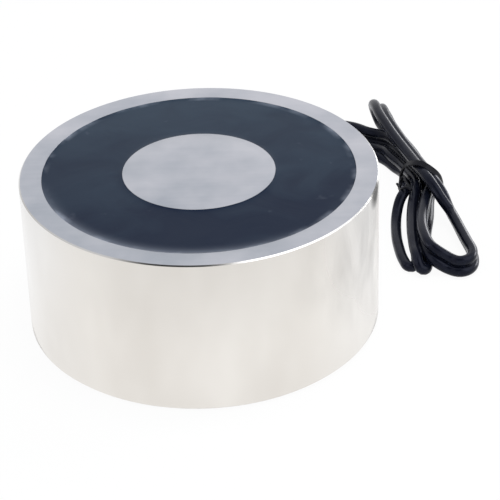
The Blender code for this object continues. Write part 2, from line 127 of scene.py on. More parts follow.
def nickel_plate():
    """Bright nickel on turned steel: a mirror, faintly clouded by the bath and by handling, with a
    painted dark reflection under the rim.
    """
    material, tree, shader = finish("bright_nickel_plate", Metallic=1.0)
    place = add_node(tree, "ShaderNodeTexCoord").outputs["Object"]
    # Clouds 20 mm across and drawn out upwards
    drawn = add_node(tree, "ShaderNodeMapping", {"Scale": (60.0, 60.0, 28.0)}, {"Vector": place})
    clouds = add_node(
        tree,
        "ShaderNodeTexNoise",
        {"Scale": 1.0, "Detail": 3.0, "Roughness": 0.55},
        {"Vector": drawn.outputs[0]},
    )
    tones = add_node(tree, "ShaderNodeValToRGB", links={"Fac": clouds.outputs["Fac"]})
    tones.color_ramp.elements[0].position = 0.3
    tones.color_ramp.elements[0].color = linear("#E8E6E4")
    tones.color_ramp.elements[1].position = 0.7
    tones.color_ramp.elements[1].color = linear("#F5F4F3")
    haze = add_node(
        tree,
        "ShaderNodeMapRange",
        {"To Min": 0.1, "To Max": 0.24},
        {"Value": clouds.outputs["Fac"]},
    )
    # A dull patch 30 mm across under the rim, whose colour is darkened in streaks by a painted dark
    # reflection
    reflection_patch_distance = add_node(
        tree,
        "ShaderNodeVectorMath",
        {"operation": "DISTANCE", 1: (0.031, -0.012, 0.027)},
        {0: place},
    )
    edge = add_node(
        tree,
        "ShaderNodeMath",
        {"operation": "MULTIPLY_ADD", 1: 0.012},
        {0: clouds.outputs["Fac"], 2: reflection_patch_distance.outputs["Value"]},
    )
    haze_and_reflection_patch = add_node(
        tree,
        "ShaderNodeMapRange",
        {"From Min": 0.03, "From Max": 0.012, "To Min": 0.0, "To Max": 1.0},
        {"Value": edge.outputs[0]},
    )
    reflection_streak_scale = add_node(
        tree, "ShaderNodeMapping", {"Scale": (150.0, 150.0, 55.0)}, {"Vector": place}
    )
    streaks = add_node(
        tree,
        "ShaderNodeTexNoise",
        {"Scale": 1.0, "Detail": 4.0, "Distortion": 0.6},
        {"Vector": reflection_streak_scale.outputs[0]},
    )
    depth = add_node(
        tree,
        "ShaderNodeMapRange",
        {"From Min": 0.38, "From Max": 0.62, "To Min": 0.02, "To Max": 0.24},
        {"Value": streaks.outputs["Fac"]},
    )
    painted_dark_reflection = add_node(
        tree,
        "ShaderNodeMath",
        {"operation": "MULTIPLY"},
        {0: depth.outputs["Result"], 1: haze_and_reflection_patch.outputs["Result"]},
    )
    # The painted dark reflection is deepest on the broken edge of the rim
    heights = add_node(tree, "ShaderNodeSeparateXYZ", links={"Vector": place})
    rim_break_reflection_dimming = add_node(
        tree,
        "ShaderNodeMapRange",
        {"From Min": 0.0297, "From Max": 0.02985, "To Min": 1.0, "To Max": 2.6},
        {"Value": heights.outputs["Z"]},
    )
    painted_reflection_loss = add_node(
        tree,
        "ShaderNodeMath",
        {"operation": "MULTIPLY"},
        {0: painted_dark_reflection.outputs[0], 1: rim_break_reflection_dimming.outputs["Result"]},
    )
    reflection_kept = add_node(
        tree, "ShaderNodeMath", {"operation": "SUBTRACT", 0: 1.0}, {1: painted_reflection_loss.outputs[0]}
    )
    # A darker painted reflection 6 mm long lies in it, against the rim
    dark_spot_distance = add_node(
        tree,
        "ShaderNodeVectorMath",
        {"operation": "DISTANCE", 1: (0.0314, -0.0084, 0.0297)},
        {0: place},
    )
    painted_dark_wedge = add_node(
        tree,
        "ShaderNodeMapRange",
        {"From Min": 0.0018, "From Max": 0.0038, "To Min": 0.16, "To Max": 1.0},
        {"Value": dark_spot_distance.outputs["Value"]},
    )
    painted_reflection_factor = add_node(
        tree,
        "ShaderNodeMath",
        {"operation": "MULTIPLY"},
        {0: reflection_kept.outputs[0], 1: painted_dark_wedge.outputs["Result"]},
    )
    colour = add_node(
        tree,
        "ShaderNodeVectorMath",
        {"operation": "SCALE"},
        {0: tones.outputs["Color"], "Scale": painted_reflection_factor.outputs[0]},
    )
    tree.links.new(colour.outputs[0], shader.inputs["Base Color"])
    dull = add_node(
        tree,
        "ShaderNodeMath",
        {"operation": "MULTIPLY_ADD", 1: 0.22},
        {0: haze_and_reflection_patch.outputs["Result"], 2: haze.outputs["Result"]},
    )
    # The plate is hazed beside the smear, where hands hold it
    grip = add_node(
        tree,
        "ShaderNodeVectorMath",
        {"operation": "DISTANCE", 1: (0.0325, -0.003, 0.016)},
        {0: place},
    )
    handled = add_node(
        tree,
        "ShaderNodeMapRange",
        {"From Min": 0.016, "From Max": 0.006, "To Min": 0.0, "To Max": 0.35},
        {"Value": grip.outputs["Value"]},
    )
    hazed = add_node(
        tree,
        "ShaderNodeMath",
        {"operation": "ADD"},
        {0: dull.outputs[0], 1: handled.outputs["Result"]},
    )
    tree.links.new(hazed.outputs[0], shader.inputs["Roughness"])
    # Turning marks 0.4 mm apart, drawn coarser than they are so that they show
    stretch = add_node(tree, "ShaderNodeMapping", {"Scale": (30.0, 30.0, 900.0)}, {"Vector": place})
    marks = add_node(
        tree, "ShaderNodeTexNoise", {"Scale": 1.0, "Detail": 2.0}, {"Vector": stretch.outputs[0]}
    )
    bump = add_node(
        tree,
        "ShaderNodeBump",
        {"Strength": 0.06, "Distance": 0.0002},
        {"Height": marks.outputs["Fac"]},
    )
    tree.links.new(bump.outputs["Normal"], shader.inputs["Normal"])
    return material


def ground_steel():
    """The pole face, surface ground in straight passes after plating: pale grey, satin."""
    material, tree, shader = finish("ground_pole_face", Metallic=1.0)
    place = add_node(tree, "ShaderNodeTexCoord").outputs["Object"]
    stretch = add_node(
        tree, "ShaderNodeMapping", {"Scale": (40.0, 900.0, 40.0)}, {"Vector": place}
    )
    grain = add_node(
        tree, "ShaderNodeTexNoise", {"Scale": 1.0, "Detail": 4.0}, {"Vector": stretch.outputs[0]}
    )
    broad = add_node(
        tree, "ShaderNodeTexNoise", {"Scale": 100.0, "Detail": 3.0}, {"Vector": place}
    )
    both = add_node(
        tree,
        "ShaderNodeMath",
        {"operation": "MULTIPLY_ADD", 1: 0.22},
        {0: grain.outputs["Fac"], 2: broad.outputs["Fac"]},
    )
    # Painted light: the ground faces are lighter towards the back and the right
    across = add_node(
        tree,
        "ShaderNodeVectorMath",
        {"operation": "DOT_PRODUCT", 1: (2.8, 3.7, 0.0)},
        {0: place},
    )
    grain_and_painted_light = add_node(
        tree,
        "ShaderNodeMath",
        {"operation": "ADD"},
        {0: both.outputs[0], 1: across.outputs["Value"]},
    )
    tones = add_node(tree, "ShaderNodeValToRGB", links={"Fac": grain_and_painted_light.outputs[0]})
    tones.color_ramp.elements[0].position = 0.36
    tones.color_ramp.elements[0].color = linear("#A8ADB7")
    tones.color_ramp.elements[1].position = 0.86
    tones.color_ramp.elements[1].color = linear("#C6C7CF")
    tree.links.new(tones.outputs["Color"], shader.inputs["Base Color"])
    haze = add_node(
        tree,
        "ShaderNodeMapRange",
        {"To Min": 0.28, "To Max": 0.42},
        {"Value": grain.outputs["Fac"]},
    )
    tree.links.new(haze.outputs["Result"], shader.inputs["Roughness"])
    bump = add_node(
        tree,
        "ShaderNodeBump",
        {"Strength": 0.12, "Distance": 0.0001},
        {"Height": grain.outputs["Fac"]},
    )
    tree.links.new(bump.outputs["Normal"], shader.inputs["Normal"])
    return material


def cast_epoxy():
    """Black potting epoxy, poured and left as it set: dark slate with slow, soft swells."""
    material, tree, shader = finish(
        "cast_black_epoxy", Specular_IOR_Level=0.1, Specular_Tint=linear("#D8E8FF")
    )
    place = add_node(tree, "ShaderNodeTexCoord").outputs["Object"]
    swirl = add_node(
        tree,
        "ShaderNodeTexNoise",
        {"Scale": 90.0, "Detail": 4.0, "Distortion": 0.8},
        {"Vector": place},
    )
    axes = add_node(tree, "ShaderNodeSeparateXYZ", links={"Vector": place})
    # Painted reflection: the ring's colour is lighter towards the back
    painted_back_light = add_node(
        tree,
        "ShaderNodeMapRange",
        {"From Min": -0.02, "From Max": 0.03, "To Min": -0.2, "To Max": 0.45},
        {"Value": axes.outputs["Y"]},
    )
    shade = add_node(
        tree,
        "ShaderNodeMath",
        {"operation": "ADD"},
        {0: swirl.outputs["Fac"], 1: painted_back_light.outputs["Result"]},
    )
    tones = add_node(tree, "ShaderNodeValToRGB", links={"Fac": shade.outputs[0]})
    tones.color_ramp.elements[0].position = 0.3
    tones.color_ramp.elements[0].color = linear("#0D1A2F")
    tones.color_ramp.elements[1].position = 0.95
    tones.color_ramp.elements[1].color = linear("#2B3847")
    # Painted highlight in patches along the outer wall, where the lip would catch the light
    flat = add_node(
        tree, "ShaderNodeVectorMath", {"operation": "MULTIPLY", 1: (1.0, 1.0, 0.0)}, {0: place}
    )
    radius = add_node(
        tree, "ShaderNodeVectorMath", {"operation": "LENGTH"}, {0: flat.outputs[0]}
    )
    lip = add_node(
        tree,
        "ShaderNodeMapRange",
        {"From Min": 0.0272, "From Max": 0.0284, "To Min": 0.0, "To Max": 1.2},
        {"Value": radius.outputs["Value"]},
    )
    spots = add_node(
        tree, "ShaderNodeTexNoise", {"Scale": 170.0, "Detail": 3.0}, {"Vector": place}
    )
    patchy = add_node(
        tree,
        "ShaderNodeMapRange",
        {"From Min": 0.48, "From Max": 0.68, "To Min": 0.0, "To Max": 1.0},
        {"Value": spots.outputs["Fac"]},
    )
    lip_highlight_patches = add_node(
        tree,
        "ShaderNodeMath",
        {"operation": "MULTIPLY"},
        {0: lip.outputs["Result"], 1: patchy.outputs["Result"]},
    )
    # In front, a painted reflection greys it smoothly over a wider band out to the edge, where it
    # would run up the wall in a fillet
    fillet = add_node(
        tree,
        "ShaderNodeMapRange",
        {"From Min": 0.0252, "From Max": 0.0286, "To Min": 0.0, "To Max": 1.0},
        {"Value": radius.outputs["Value"]},
    )
    curve = add_node(
        tree, "ShaderNodeMath", {"operation": "POWER", 1: 2.4}, {0: fillet.outputs["Result"]}
    )
    forward = add_node(
        tree,
        "ShaderNodeVectorMath",
        {"operation": "DOT_PRODUCT", 1: (-0.36, -0.93, 0.0)},
        {0: place},
    )
    ahead = add_node(
        tree,
        "ShaderNodeMapRange",
        {"From Min": 0.012, "From Max": 0.026, "To Min": 0.0, "To Max": 1.3},
        {"Value": forward.outputs["Value"]},
    )
    painted_edge_highlights = add_node(
        tree,
        "ShaderNodeMath",
        {"operation": "MULTIPLY_ADD"},
        {0: curve.outputs[0], 1: ahead.outputs["Result"], 2: lip_highlight_patches.outputs[0]},
    )
    # A few pale scuffs some millimetres long
    scuffs = add_node(
        tree,
        "ShaderNodeMapRange",
        {"From Min": 0.66, "From Max": 0.8, "To Min": 0.0, "To Max": 0.5},
        {"Value": spots.outputs["Fac"]},
    )
    highlights_and_scuffs = add_node(
        tree,
        "ShaderNodeMath",
        {"operation": "ADD"},
        {0: painted_edge_highlights.outputs[0], 1: scuffs.outputs["Result"]},
    )
    colour = add_node(
        tree,
        "ShaderNodeVectorMath",
        {"operation": "MULTIPLY_ADD", 1: (0.11, 0.12, 0.14)},
        {0: highlights_and_scuffs.outputs[0], 2: tones.outputs["Color"]},
    )
    tree.links.new(colour.outputs[0], shader.inputs["Base Color"])
    haze = add_node(
        tree, "ShaderNodeMapRange", {"To Min": 0.3, "To Max": 0.5}, {"Value": swirl.outputs["Fac"]}
    )
    tree.links.new(haze.outputs["Result"], shader.inputs["Roughness"])
    bump = add_node(
        tree,
        "ShaderNodeBump",
        {"Strength": 0.25, "Distance": 0.0003},
        {"Height": swirl.outputs["Fac"]},
    )
    tree.links.new(bump.outputs["Normal"], shader.inputs["Normal"])
    return material


def plain_finish(name, low, high, roughness, scale, strength=0.1, **settings):
    """A finish of two close tones in fine grains, with a little relief of the same grain."""
    material, tree, shader = finish(name, Roughness=roughness, **settings)
    place = add_node(tree, "ShaderNodeTexCoord").outputs["Object"]
    grain = add_node(
        tree, "ShaderNodeTexNoise", {"Scale": scale, "Detail": 3.0}, {"Vector": place}
    )
    tones = add_node(tree, "ShaderNodeValToRGB", links={"Fac": grain.outputs["Fac"]})
    tones.color_ramp.elements[0].position = 0.35
    tones.color_ramp.elements[0].color = linear(low)
    tones.color_ramp.elements[1].position = 0.65
    tones.color_ramp.elements[1].color = linear(high)
    tree.links.new(tones.outputs["Color"], shader.inputs["Base Color"])
    bump = add_node(
        tree,
        "ShaderNodeBump",
        {"Strength": strength, "Distance": 0.00005},
        {"Height": grain.outputs["Fac"]},
    )
    tree.links.new(bump.outputs["Normal"], shader.inputs["Normal"])
    return material


plate = nickel_plate()
face_steel = ground_steel()
epoxy = cast_epoxy()
# The epoxy at the cord's hole: dabbed on by hand, and glossier than the cast ring
seal_epoxy = plain_finish("dabbed_black_epoxy", "#0B0D12", "#161A21", 0.22, 500.0, 0.3)
# Extruded PVC: near black and dull to look at straight on, with its edges greyed by bloom
pvc = plain_finish(
    "black_pvc_insulation",
    "#0B0D18",
    "#12151F",
    0.24,
    900.0,
    0.04,
    Specular_IOR_Level=0.18,
    Specular_Tint=linear("#DCE2FF"),
    Sheen_Weight=0.28,
    Sheen_Roughness=0.2,
    Sheen_Tint=linear("#D8DEF8"),
)
# The tie's PVC ribbon over its wire: black, and duller than the cord
tie_plastic = plain_finish(
    "black_tie_plastic", "#0C0D13", "#14151D", 0.42, 1500.0, 0.1, Specular_IOR_Level=0.15
)
# Drawn copper wire, hot tinned: bright, grey-white and a little soft
tinned = plain_finish("tinned_copper_strand", "#B9B7B2", "#CFCECB", 0.3, 2500.0, 0.1, Metallic=1.0)
# Magnet wire under clear varnish: a warm red-brown gloss
enamel = plain_finish("enamelled_copper_wire", "#8A3F1C", "#A9542A", 0.25, 700.0, 0.1, Metallic=1.0)
# Injection moulded nylon without dye: milky and half dull
nylon = plain_finish("moulded_natural_nylon", "#DAD5C6", "#E4E0D2", 0.45, 600.0)
# Pressed board: brown, fibrous and quite dull
paper = plain_finish("pressed_insulation_paper", "#8E7650", "#A48B63", 0.8, 1800.0, 0.3)
# Polyester film with a clear yellow gloss
tape = plain_finish("yellow_polyester_tape", "#D9A521", "#E4B436", 0.3, 400.0)
# Heat-shrunk polyolefin: black, with a dry sheen
sleeve = plain_finish("shrunk_polyolefin_sleeve", "#121212", "#1B1B1B", 0.5, 1200.0)


# ---------------------------------------------------------------- mesh helpers


def mesh_piece(name, bm, materials, sharp=40.0):
    """Turn a bmesh into a piece that rides on the magnet."""
    mesh = bpy.data.meshes.new(name)
    bm.to_mesh(mesh)
    bm.free()
    for material in materials:
        mesh.materials.append(material)
    mesh.shade_smooth()
    mesh.set_sharp_from_angle(angle=math.radians(sharp))
    piece = bpy.data.objects.new(name, mesh)
    bpy.context.scene.collection.objects.link(piece)
    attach(piece, "root")
    return piece


def turned(profile, steps, on_axis):
    """Spin (radius, height) points round Z; on_axis says that both ends are on the axis."""
    bm = bmesh.new()
    points = [bm.verts.new((r, 0.0, z)) for r, z in profile]
    edges = [bm.edges.new(pair) for pair in zip(points, points[1:])]
    if not on_axis:
        edges.append(bm.edges.new((points[-1], points[0])))
    bmesh.ops.spin(
        bm,
        geom=points + edges,
        cent=(0.0, 0.0, 0.0),
        axis=(0.0, 0.0, 1.0),
        angle=2 * math.pi,
        steps=steps,
        use_merge=True,
    )
    bmesh.ops.remove_doubles(bm, verts=bm.verts, dist=0.0000005)
    bmesh.ops.recalc_face_normals(bm, faces=bm.faces)
    return bm


def smooth_route(points, step):
    """Read stations at even steps from a natural cubic curve through rows of numbers."""
    rows = [Vector(row) for row in points]
    size = len(rows[0])
    spans = [
        math.sqrt(sum((b[k] - a[k]) ** 2 for k in range(3))) for a, b in zip(rows, rows[1:])
    ]
    count = len(rows)
    upper = [0.0] * count
    bend = [Vector([0.0] * size) for _ in rows]
    for k in range(1, count - 1):
        change = (rows[k + 1] - rows[k]) / spans[k] - (rows[k] - rows[k - 1]) / spans[k - 1]
        pivot = 2 * (spans[k - 1] + spans[k]) - spans[k - 1] * upper[k - 1]
        upper[k] = spans[k] / pivot
        bend[k] = (6 * change - spans[k - 1] * bend[k - 1]) / pivot
    for k in range(count - 2, 0, -1):
        bend[k] = bend[k] - upper[k] * bend[k + 1]
    fine = []
    for k, span in enumerate(spans):
        parts = max(8, math.ceil(span / (0.1 * MM)))
        for part in range(parts):
            t = part / parts
            s = 1 - t
            fine.append(
                s * rows[k]
                + t * rows[k + 1]
                + (span * span / 6) * ((s**3 - s) * bend[k] + (t**3 - t) * bend[k + 1])
            )
    fine.append(rows[-1])
    lengths = [
        math.sqrt(sum((b[k] - a[k]) ** 2 for k in range(3))) for a, b in zip(fine, fine[1:])
    ]
    total = sum(lengths)
    pieces = max(2, round(total / step))
    stations = [fine[0]]
    walked = 0.0
    for a, b, length in zip(fine, fine[1:], lengths):
        while len(stations) < pieces and walked + length >= total * len(stations) / pieces:
            share = (total * len(stations) / pieces - walked) / length
            stations.append(a.lerp(b, share))
        walked += length
    stations.append(fine[-1])
    return stations


def frames_along(stations, sides=None):
    """A frame at each station: its X to the side, its Z along. sides gives each side's aim."""
    places = [Vector(station[:3]) for station in stations]
    frames = []
    side = None
    for k, place in enumerate(places):
        along = (places[min(k + 1, len(places) - 1)] - places[max(k - 1, 0)]).normalized()
        if sides:
            aim = Vector(sides[k])
        elif side is None:
            aim = Vector((0.0, 0.0, 1.0)) if abs(along.z) < 0.9 else Vector((1.0, 0.0, 0.0))
        else:
            aim = side
        side = (aim - along * aim.dot(along)).normalized()
        frames.append(
            Matrix(
                (
                    (side.x, along.cross(side).x, along.x, place.x),
                    (side.y, along.cross(side).y, along.y, place.y),
                    (side.z, along.cross(side).z, along.z, place.z),
                    (0.0, 0.0, 0.0, 1.0),
                )
            )
        )
    return frames


def swept(section, frames):
    """Push a closed section along frames by extruding its loop, and cap both ends."""
    bm = bmesh.new()
    ring = [bm.verts.new(frames[0] @ Vector((a, b, 0.0))) for a, b in section]
    loop = [bm.edges.new((ring[k - 1], ring[k])) for k in range(len(ring))]
    bm.faces.new(ring)
    for before, after in zip(frames, frames[1:]):
        grown = bmesh.ops.extrude_edge_only(bm, edges=loop)["geom"]
        fresh = {item for item in grown if isinstance(item, bmesh.types.BMVert)}
        loop = [
            item
            for item in grown
            if isinstance(item, bmesh.types.BMEdge) and fresh.issuperset(item.verts)
        ]
        bmesh.ops.transform(bm, matrix=after @ before.inverted(), verts=list(fresh))
    bmesh.ops.holes_fill(bm, edges=loop, sides=0)
    bmesh.ops.recalc_face_normals(bm, faces=bm.faces)
    return bm


def take_in(bm, part):
    """Move all of one bmesh into another."""
    mesh = bpy.data.meshes.new("part")
    part.to_mesh(mesh)
    part.free()
    bm.from_mesh(mesh)
    bpy.data.meshes.remove(mesh)


def round_section(radius, count):
    """Points of a circle, as a section for swept."""
    return [
        (radius * math.cos(2 * math.pi * k / count), radius * math.sin(2 * math.pi * k / count))
        for k in range(count)
    ]


def twin_section(radius, web, count):
    """Two round cores side by side with a thin web in the grooves between them."""
    overlap = 0.975
    points = []
    clear = math.degrees(math.asin(web / radius))
    for centre, first in ((radius, -180 + clear), (-radius, clear)):
        for k in range(count):
            turn = math.radians(first + (360 - 2 * clear) * k / (count - 1))
            points.append(
                (centre * overlap + radius * math.cos(turn), radius * math.sin(turn))
            )
    return points


# ---------------------------------------------------------------- the pot


def thread_depth(row):
    """How deep a 60 degree thread is cut, from 0 to 1, at one of its pitch's rows."""
    flat_rows = 2.0
    flank_rows = 5.0
    return min(1.0, max(0.0, (abs(row - 0.5 * THREAD_ROWS) - flat_rows) / flank_rows))


def bore_profile():
    """(Radius, height) points of the countersink, of the bore in its rows, and of its end."""
    rows = int((HOLE_DEPTH - 0.2 * COUNTERSINK_DEPTH) / ROW_SPACING)
    points = []
    for k in range(rows + 1):
        height = HOLE_DEPTH - (rows - k) * ROW_SPACING
        points.append((HOLE_RADIUS + max(0.0, COUNTERSINK_DEPTH - height), height))
    point_depth = HOLE_RADIUS / math.tan(math.radians(DRILL_POINT_ANGLE / 2))
    points.append((0.0, HOLE_DEPTH + point_depth))
    return points


def cut_thread(bm):
    """Move the bore's own points up to the next row of a helix, and out to the thread."""
    row_of = {}
    for vert in bm.verts:
        flat = math.hypot(vert.co.x, vert.co.y)
        if not HOLE_RADIUS - 0.01 * MM <= flat < COUNTERSINK_RADIUS - 0.06 * MM:
            continue
        if not 0.5 * COUNTERSINK_DEPTH < vert.co.z < HOLE_DEPTH - 0.5 * ROW_SPACING:
            continue
        turn = math.atan2(vert.co.y, vert.co.x) / (2 * math.pi)
        place = (HOLE_DEPTH - vert.co.z) / ROW_SPACING + turn * THREAD_ROWS
        row = math.floor(place + 0.001)
        if vert.co.z < THREAD_LENGTH:
            vert.co.z += (place - row) * ROW_SPACING
        run_out = min(1.0, max(0.0, (THREAD_LENGTH - vert.co.z) / THREAD_RUN_OUT))
        depth = thread_depth(row % THREAD_ROWS) * run_out
        wanted = HOLE_RADIUS + (THREAD_ROOT - HOLE_RADIUS) * depth
        row_of[vert] = row
        if wanted > flat:
            vert.co.x *= wanted / flat
            vert.co.y *= wanted / flat
    # Where the rows step over to the next one, split the faces along the helix
    for face in list(bm.faces):
        corners = list(face.verts)
        if len(corners) != 4 or not all(vert in row_of for vert in corners):
            continue
        for one, other in ((corners[0], corners[2]), (corners[1], corners[3])):
            if row_of[one] == row_of[other]:
                bmesh.utils.face_split(face, one, other)
                break


def drill_cord_hole(pot):
    """Cut the cord's hole through the pot's wall, and leave no modifier behind."""
    drill = bmesh.new()
    bmesh.ops.create_cone(
        drill,
        cap_ends=True,
        segments=64,
        radius1=CORD_HOLE_RADIUS,
        radius2=CORD_HOLE_RADIUS,
        depth=8 * MM,
        matrix=Matrix.Translation((0.0, POT_RADIUS - 2 * MM, CORD_HOLE_LEVEL))
        @ Matrix.Rotation(math.pi / 2, 4, "X"),
    )
    mesh = bpy.data.meshes.new("drill")
    drill.to_mesh(mesh)
    drill.free()
    guide = bpy.data.objects.new("drill", mesh)
    bpy.context.scene.collection.objects.link(guide)
    hole = pot.modifiers.new("cord_hole", "BOOLEAN")
    hole.operation = "DIFFERENCE"
    hole.solver = "EXACT"
    hole.object = guide
    bpy.context.view_layer.update()
    shaped = bpy.data.meshes.new_from_object(
        pot.evaluated_get(bpy.context.evaluated_depsgraph_get())
    )
    pot.modifiers.remove(hole)
    pot.data = shaped
    bpy.data.objects.remove(guide)


def make_pot():
    """The pot turned in one piece, with its edges just broken and a threaded hole below."""
    core = CORE_RADIUS
    groove = GROOVE_RADIUS
    rim = POT_RADIUS
    top = POT_HEIGHT
    profile = [
        (0.0, top),
        (0.55 * core, top),
        (core - FACE_BREAK, top),
        (core - 0.3 * FACE_BREAK, top - 0.3 * FACE_BREAK),
        (core, top - FACE_BREAK),
        (core, GROOVE_FLOOR),
        (groove, GROOVE_FLOOR),
        (groove, top - FACE_BREAK),
        (groove + 0.3 * FACE_BREAK, top - 0.3 * FACE_BREAK),
        (groove + FACE_BREAK, top),
        (rim - RIM_BREAK, top),
        (rim, top - RIM_BREAK),
        (rim, top - 3 * MM),
        (rim, 3 * MM),
        (rim, FOOT_CHAMFER + FOOT_ROUND),
        (rim - FOOT_ROUND, FOOT_CHAMFER - 0.08 * MM),
        (rim - FOOT_CHAMFER + FOOT_ROUND, 0.04 * MM),
        (rim - FOOT_CHAMFER - FOOT_ROUND, 0.0),
        (COUNTERSINK_RADIUS + 0.02 * MM, 0.0),
        (COUNTERSINK_RADIUS - 0.02 * MM, 0.02 * MM),
    ]
    bm = turned(profile + bore_profile(), 192, on_axis=True)
    cut_thread(bm)
    # Grinding bares the flat faces and the small inner breaks, and leaves the rim's plated
    for face in bm.faces:
        middle = face.calc_center_median()
        inside = math.hypot(middle.x, middle.y) < groove + 1 * MM
        ground_to = top - (0.08 if inside else 0.01) * MM
        face.material_index = int(middle.z > ground_to)
    pot = mesh_piece("turned_pot", bm, [plate, face_steel], sharp=30.0)
    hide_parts("pot_body")
    drill_cord_hole(pot)


def make_resin():
    """The poured ring: low slow waves, and an uneven lip where it wets the steel."""
    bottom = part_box("potting_resin")[0]
    inner = CORE_RADIUS + 0.01 * MM
    outer = GROOVE_RADIUS - 0.01 * MM
    level = POT_HEIGHT - RESIN_DROP
    # In millimetres: the slow waves' height, the lip's, and how far the lip reaches in
    wave_height = 0.04
    lip_height = 0.13
    lip_reach = 0.45
    count = 26
    profile = [(inner, bottom.z), (outer, bottom.z)]
    profile += [
        (outer + (inner - outer) * 0.5 * (1 - math.cos(math.pi * k / count)), level)
        for k in range(count + 1)
    ]
    bm = turned(profile, 360, on_axis=False)
    for vert in bm.verts:
        if vert.co.z < level - 0.01 * MM:
            continue
        flat = math.hypot(vert.co.x, vert.co.y)
        edge = min(flat - inner, outer - flat) / MM
        wave = noise.noise(vert.co / (9 * MM)) * wave_height * min(1.0, edge / 2)
        uneven = 1 + 0.5 * noise.noise(vert.co / (3 * MM))
        lip = lip_height * math.exp(-edge / lip_reach) * uneven
        vert.co.z += (wave + lip) * MM
    ring = mesh_piece("cast_resin_ring", bm, [epoxy])
    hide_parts("potting_resin")


def make_seal():
    """The dab of epoxy that closes the cord's hole, pulled a little way out along the cord."""
    low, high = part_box("exit_seal")
    bm = bmesh.new()
    bmesh.ops.create_uvsphere(bm, u_segments=64, v_segments=40, radius=1.0)
    centre = Vector((0.0, POT_RADIUS, 0.5 * (low.z + high.z)))
    for vert in bm.verts:
        point = vert.co.copy()
        swell = 1 + 0.05 * noise.noise(point * 2.3 + Vector((4.0, 1.0, 2.0)))
        # It stands 1.25 mm off the wall, and its tip is pulled 0.35 mm further
        stand = max(point.y, -0.2) * 1.25 + 0.35 * max(point.y, 0.0) ** 6
        vert.co = centre + Vector(
            (
                point.x * SEAL_WIDTH * swell,
                stand * MM,
                point.z * SEAL_HEIGHT * swell,
            )
        )
    bmesh.ops.recalc_face_normals(bm, faces=bm.faces)
    # The plug that fills the hole behind the dab
    plug_radius = CORD_HOLE_RADIUS - 0.04 * MM
    plug_middle = POT_RADIUS - 0.05 * MM - 0.5 * SEAL_PLUG_LENGTH
    bmesh.ops.create_cone(
        bm,
        cap_ends=True,
        segments=64,
        radius1=plug_radius,
        radius2=plug_radius,
        depth=SEAL_PLUG_LENGTH,
        matrix=Matrix.Translation((0.0, plug_middle, centre.z))
        @ Matrix.Rotation(math.pi / 2, 4, "X"),
    )
    seal = mesh_piece("epoxy_exit_seal", bm, [seal_epoxy], sharp=60.0)
    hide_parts("exit_seal")
    return seal


make_pot()
make_resin()
seal = make_seal()


# ---------------------------------------------------------------- the cord


